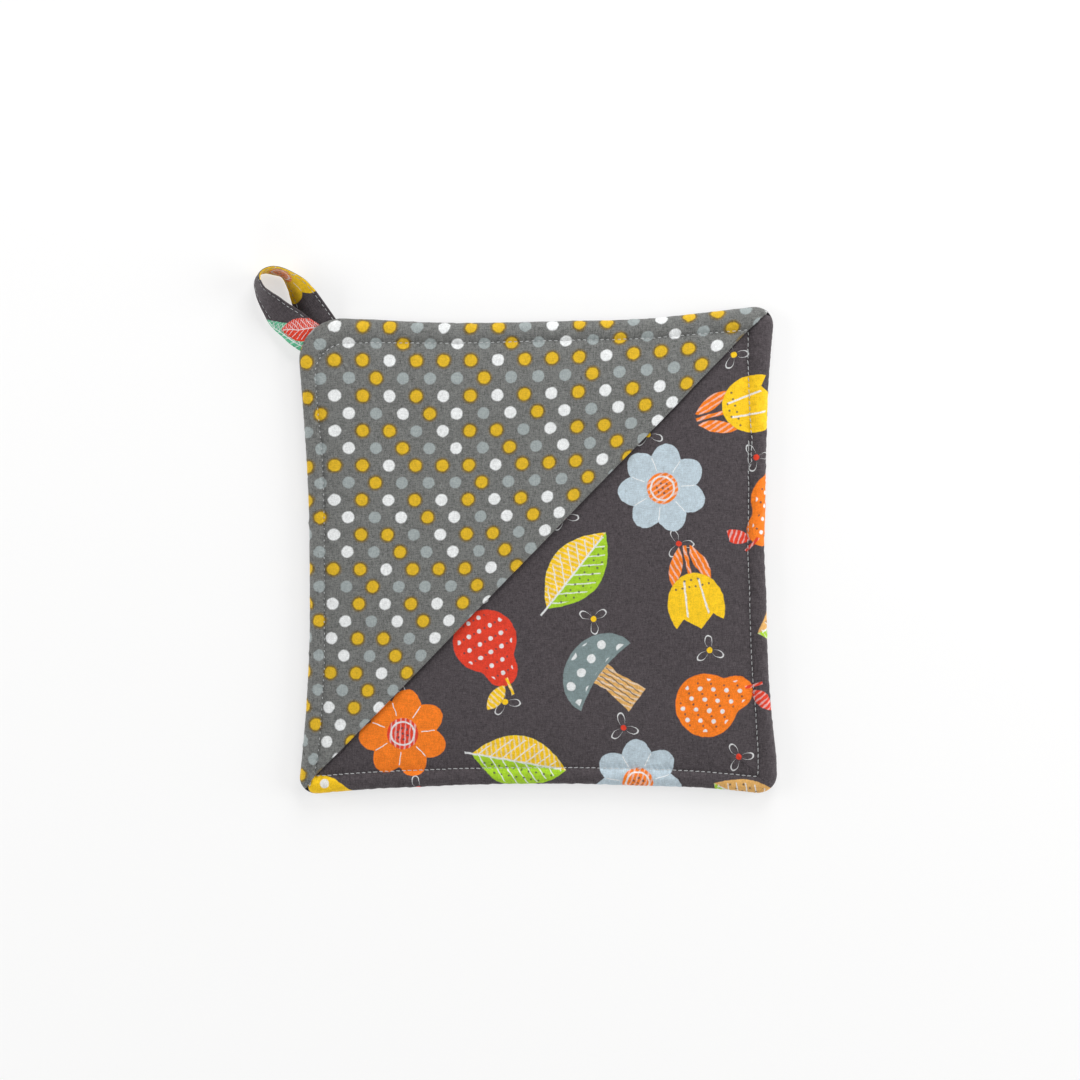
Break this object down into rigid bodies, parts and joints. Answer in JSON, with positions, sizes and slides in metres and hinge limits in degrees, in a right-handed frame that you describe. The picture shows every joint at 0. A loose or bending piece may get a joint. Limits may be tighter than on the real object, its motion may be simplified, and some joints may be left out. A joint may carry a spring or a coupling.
{
  "type": "quilted pot holder",
  "caption": "Square padded pot holder with a folded corner-to-corner pocket flap, a topstitched rolled rim and a twisted hanging loop in one corner.",
  "frame": {"origin": "middle of the pad, on the flat of its back, which rests on the surface", "axes": "+Z out of the face, +Y to the top of the face, +X to its right; the hanging loop is at -X +Y"},
  "size_m": [0.2257, 0.227, 0.0149],
  "materials": {
    "charcoal_print_cotton": "matte plain weave cotton, charcoal ground with a bright leaf and flower print",
    "charcoal_plain_cotton": "matte plain weave cotton, charcoal",
    "grey_dotted_cotton": "matte plain weave cotton, mid grey with white, mustard and pale grey dots",
    "charcoal_loop_cotton": "matte plain weave cotton strip of the front's print, topstitched along both edges"
  },
  "bodies": {
    "root": {"padded_front": "charcoal_print_cotton", "back_panel": "charcoal_plain_cotton", "pocket_flap": "grey_dotted_cotton", "hanging_loop": "charcoal_loop_cotton"}
  },
  "joints": []
}
